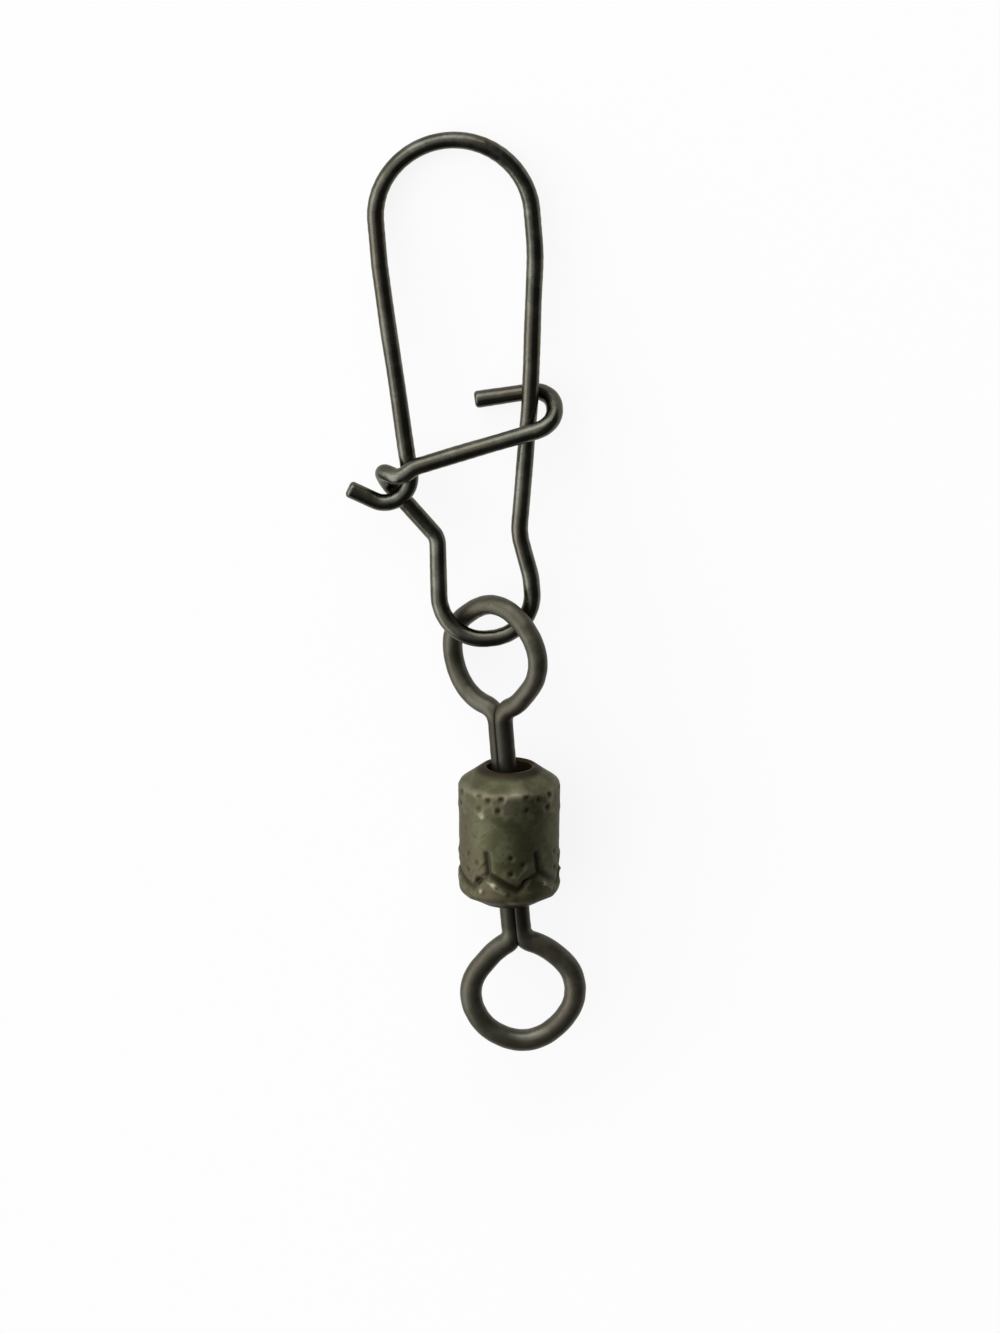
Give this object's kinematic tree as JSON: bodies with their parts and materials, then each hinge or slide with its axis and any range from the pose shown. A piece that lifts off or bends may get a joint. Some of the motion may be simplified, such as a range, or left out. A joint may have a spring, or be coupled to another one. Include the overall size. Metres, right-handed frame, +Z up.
{
  "type": "fishing snap swivel",
  "caption": "Rolling barrel swivel with a wire eye at each end and a hooked snap of bent spring wire hanging in one eye, in dark plated metal.",
  "frame": {"origin": "centre of the line eye's hole, with the swivel lying as it comes to rest", "axes": "+Y along the line of pull from the line eye to the snap, +Z up through the lying line eye, +X across"},
  "size_m": [0.0111, 0.0477, 0.0051],
  "materials": {
    "barrel": "satin black nickel plate",
    "eye_wire": "satin black nickel plate",
    "snap_wire": "satin black nickel plate"
  },
  "bodies": {
    "barrel": {"barrel": "barrel"},
    "line_eye": {"line_eye": "eye_wire"},
    "snap_eye": {"snap_eye": "eye_wire"},
    "snap": {"snap": "snap_wire"}
  },
  "joints": [
    {"name": "line_eye_spin", "type": "hinge", "parent": "barrel", "child": "line_eye", "pos_m": [0, 0.00823, 0], "axis": [0, 1, 0], "continuous": true},
    {"name": "snap_eye_spin", "type": "hinge", "parent": "barrel", "child": "snap_eye", "pos_m": [0, 0.00823, 0], "axis": [0, 1, 0], "continuous": true},
    {"name": "snap_swing", "type": "hinge", "parent": "snap_eye", "child": "snap", "pos_m": [0, 0.01816, 0], "axis": [-0.6018, 0, 0.7986], "range_deg": [-120, 120]}
  ]
}
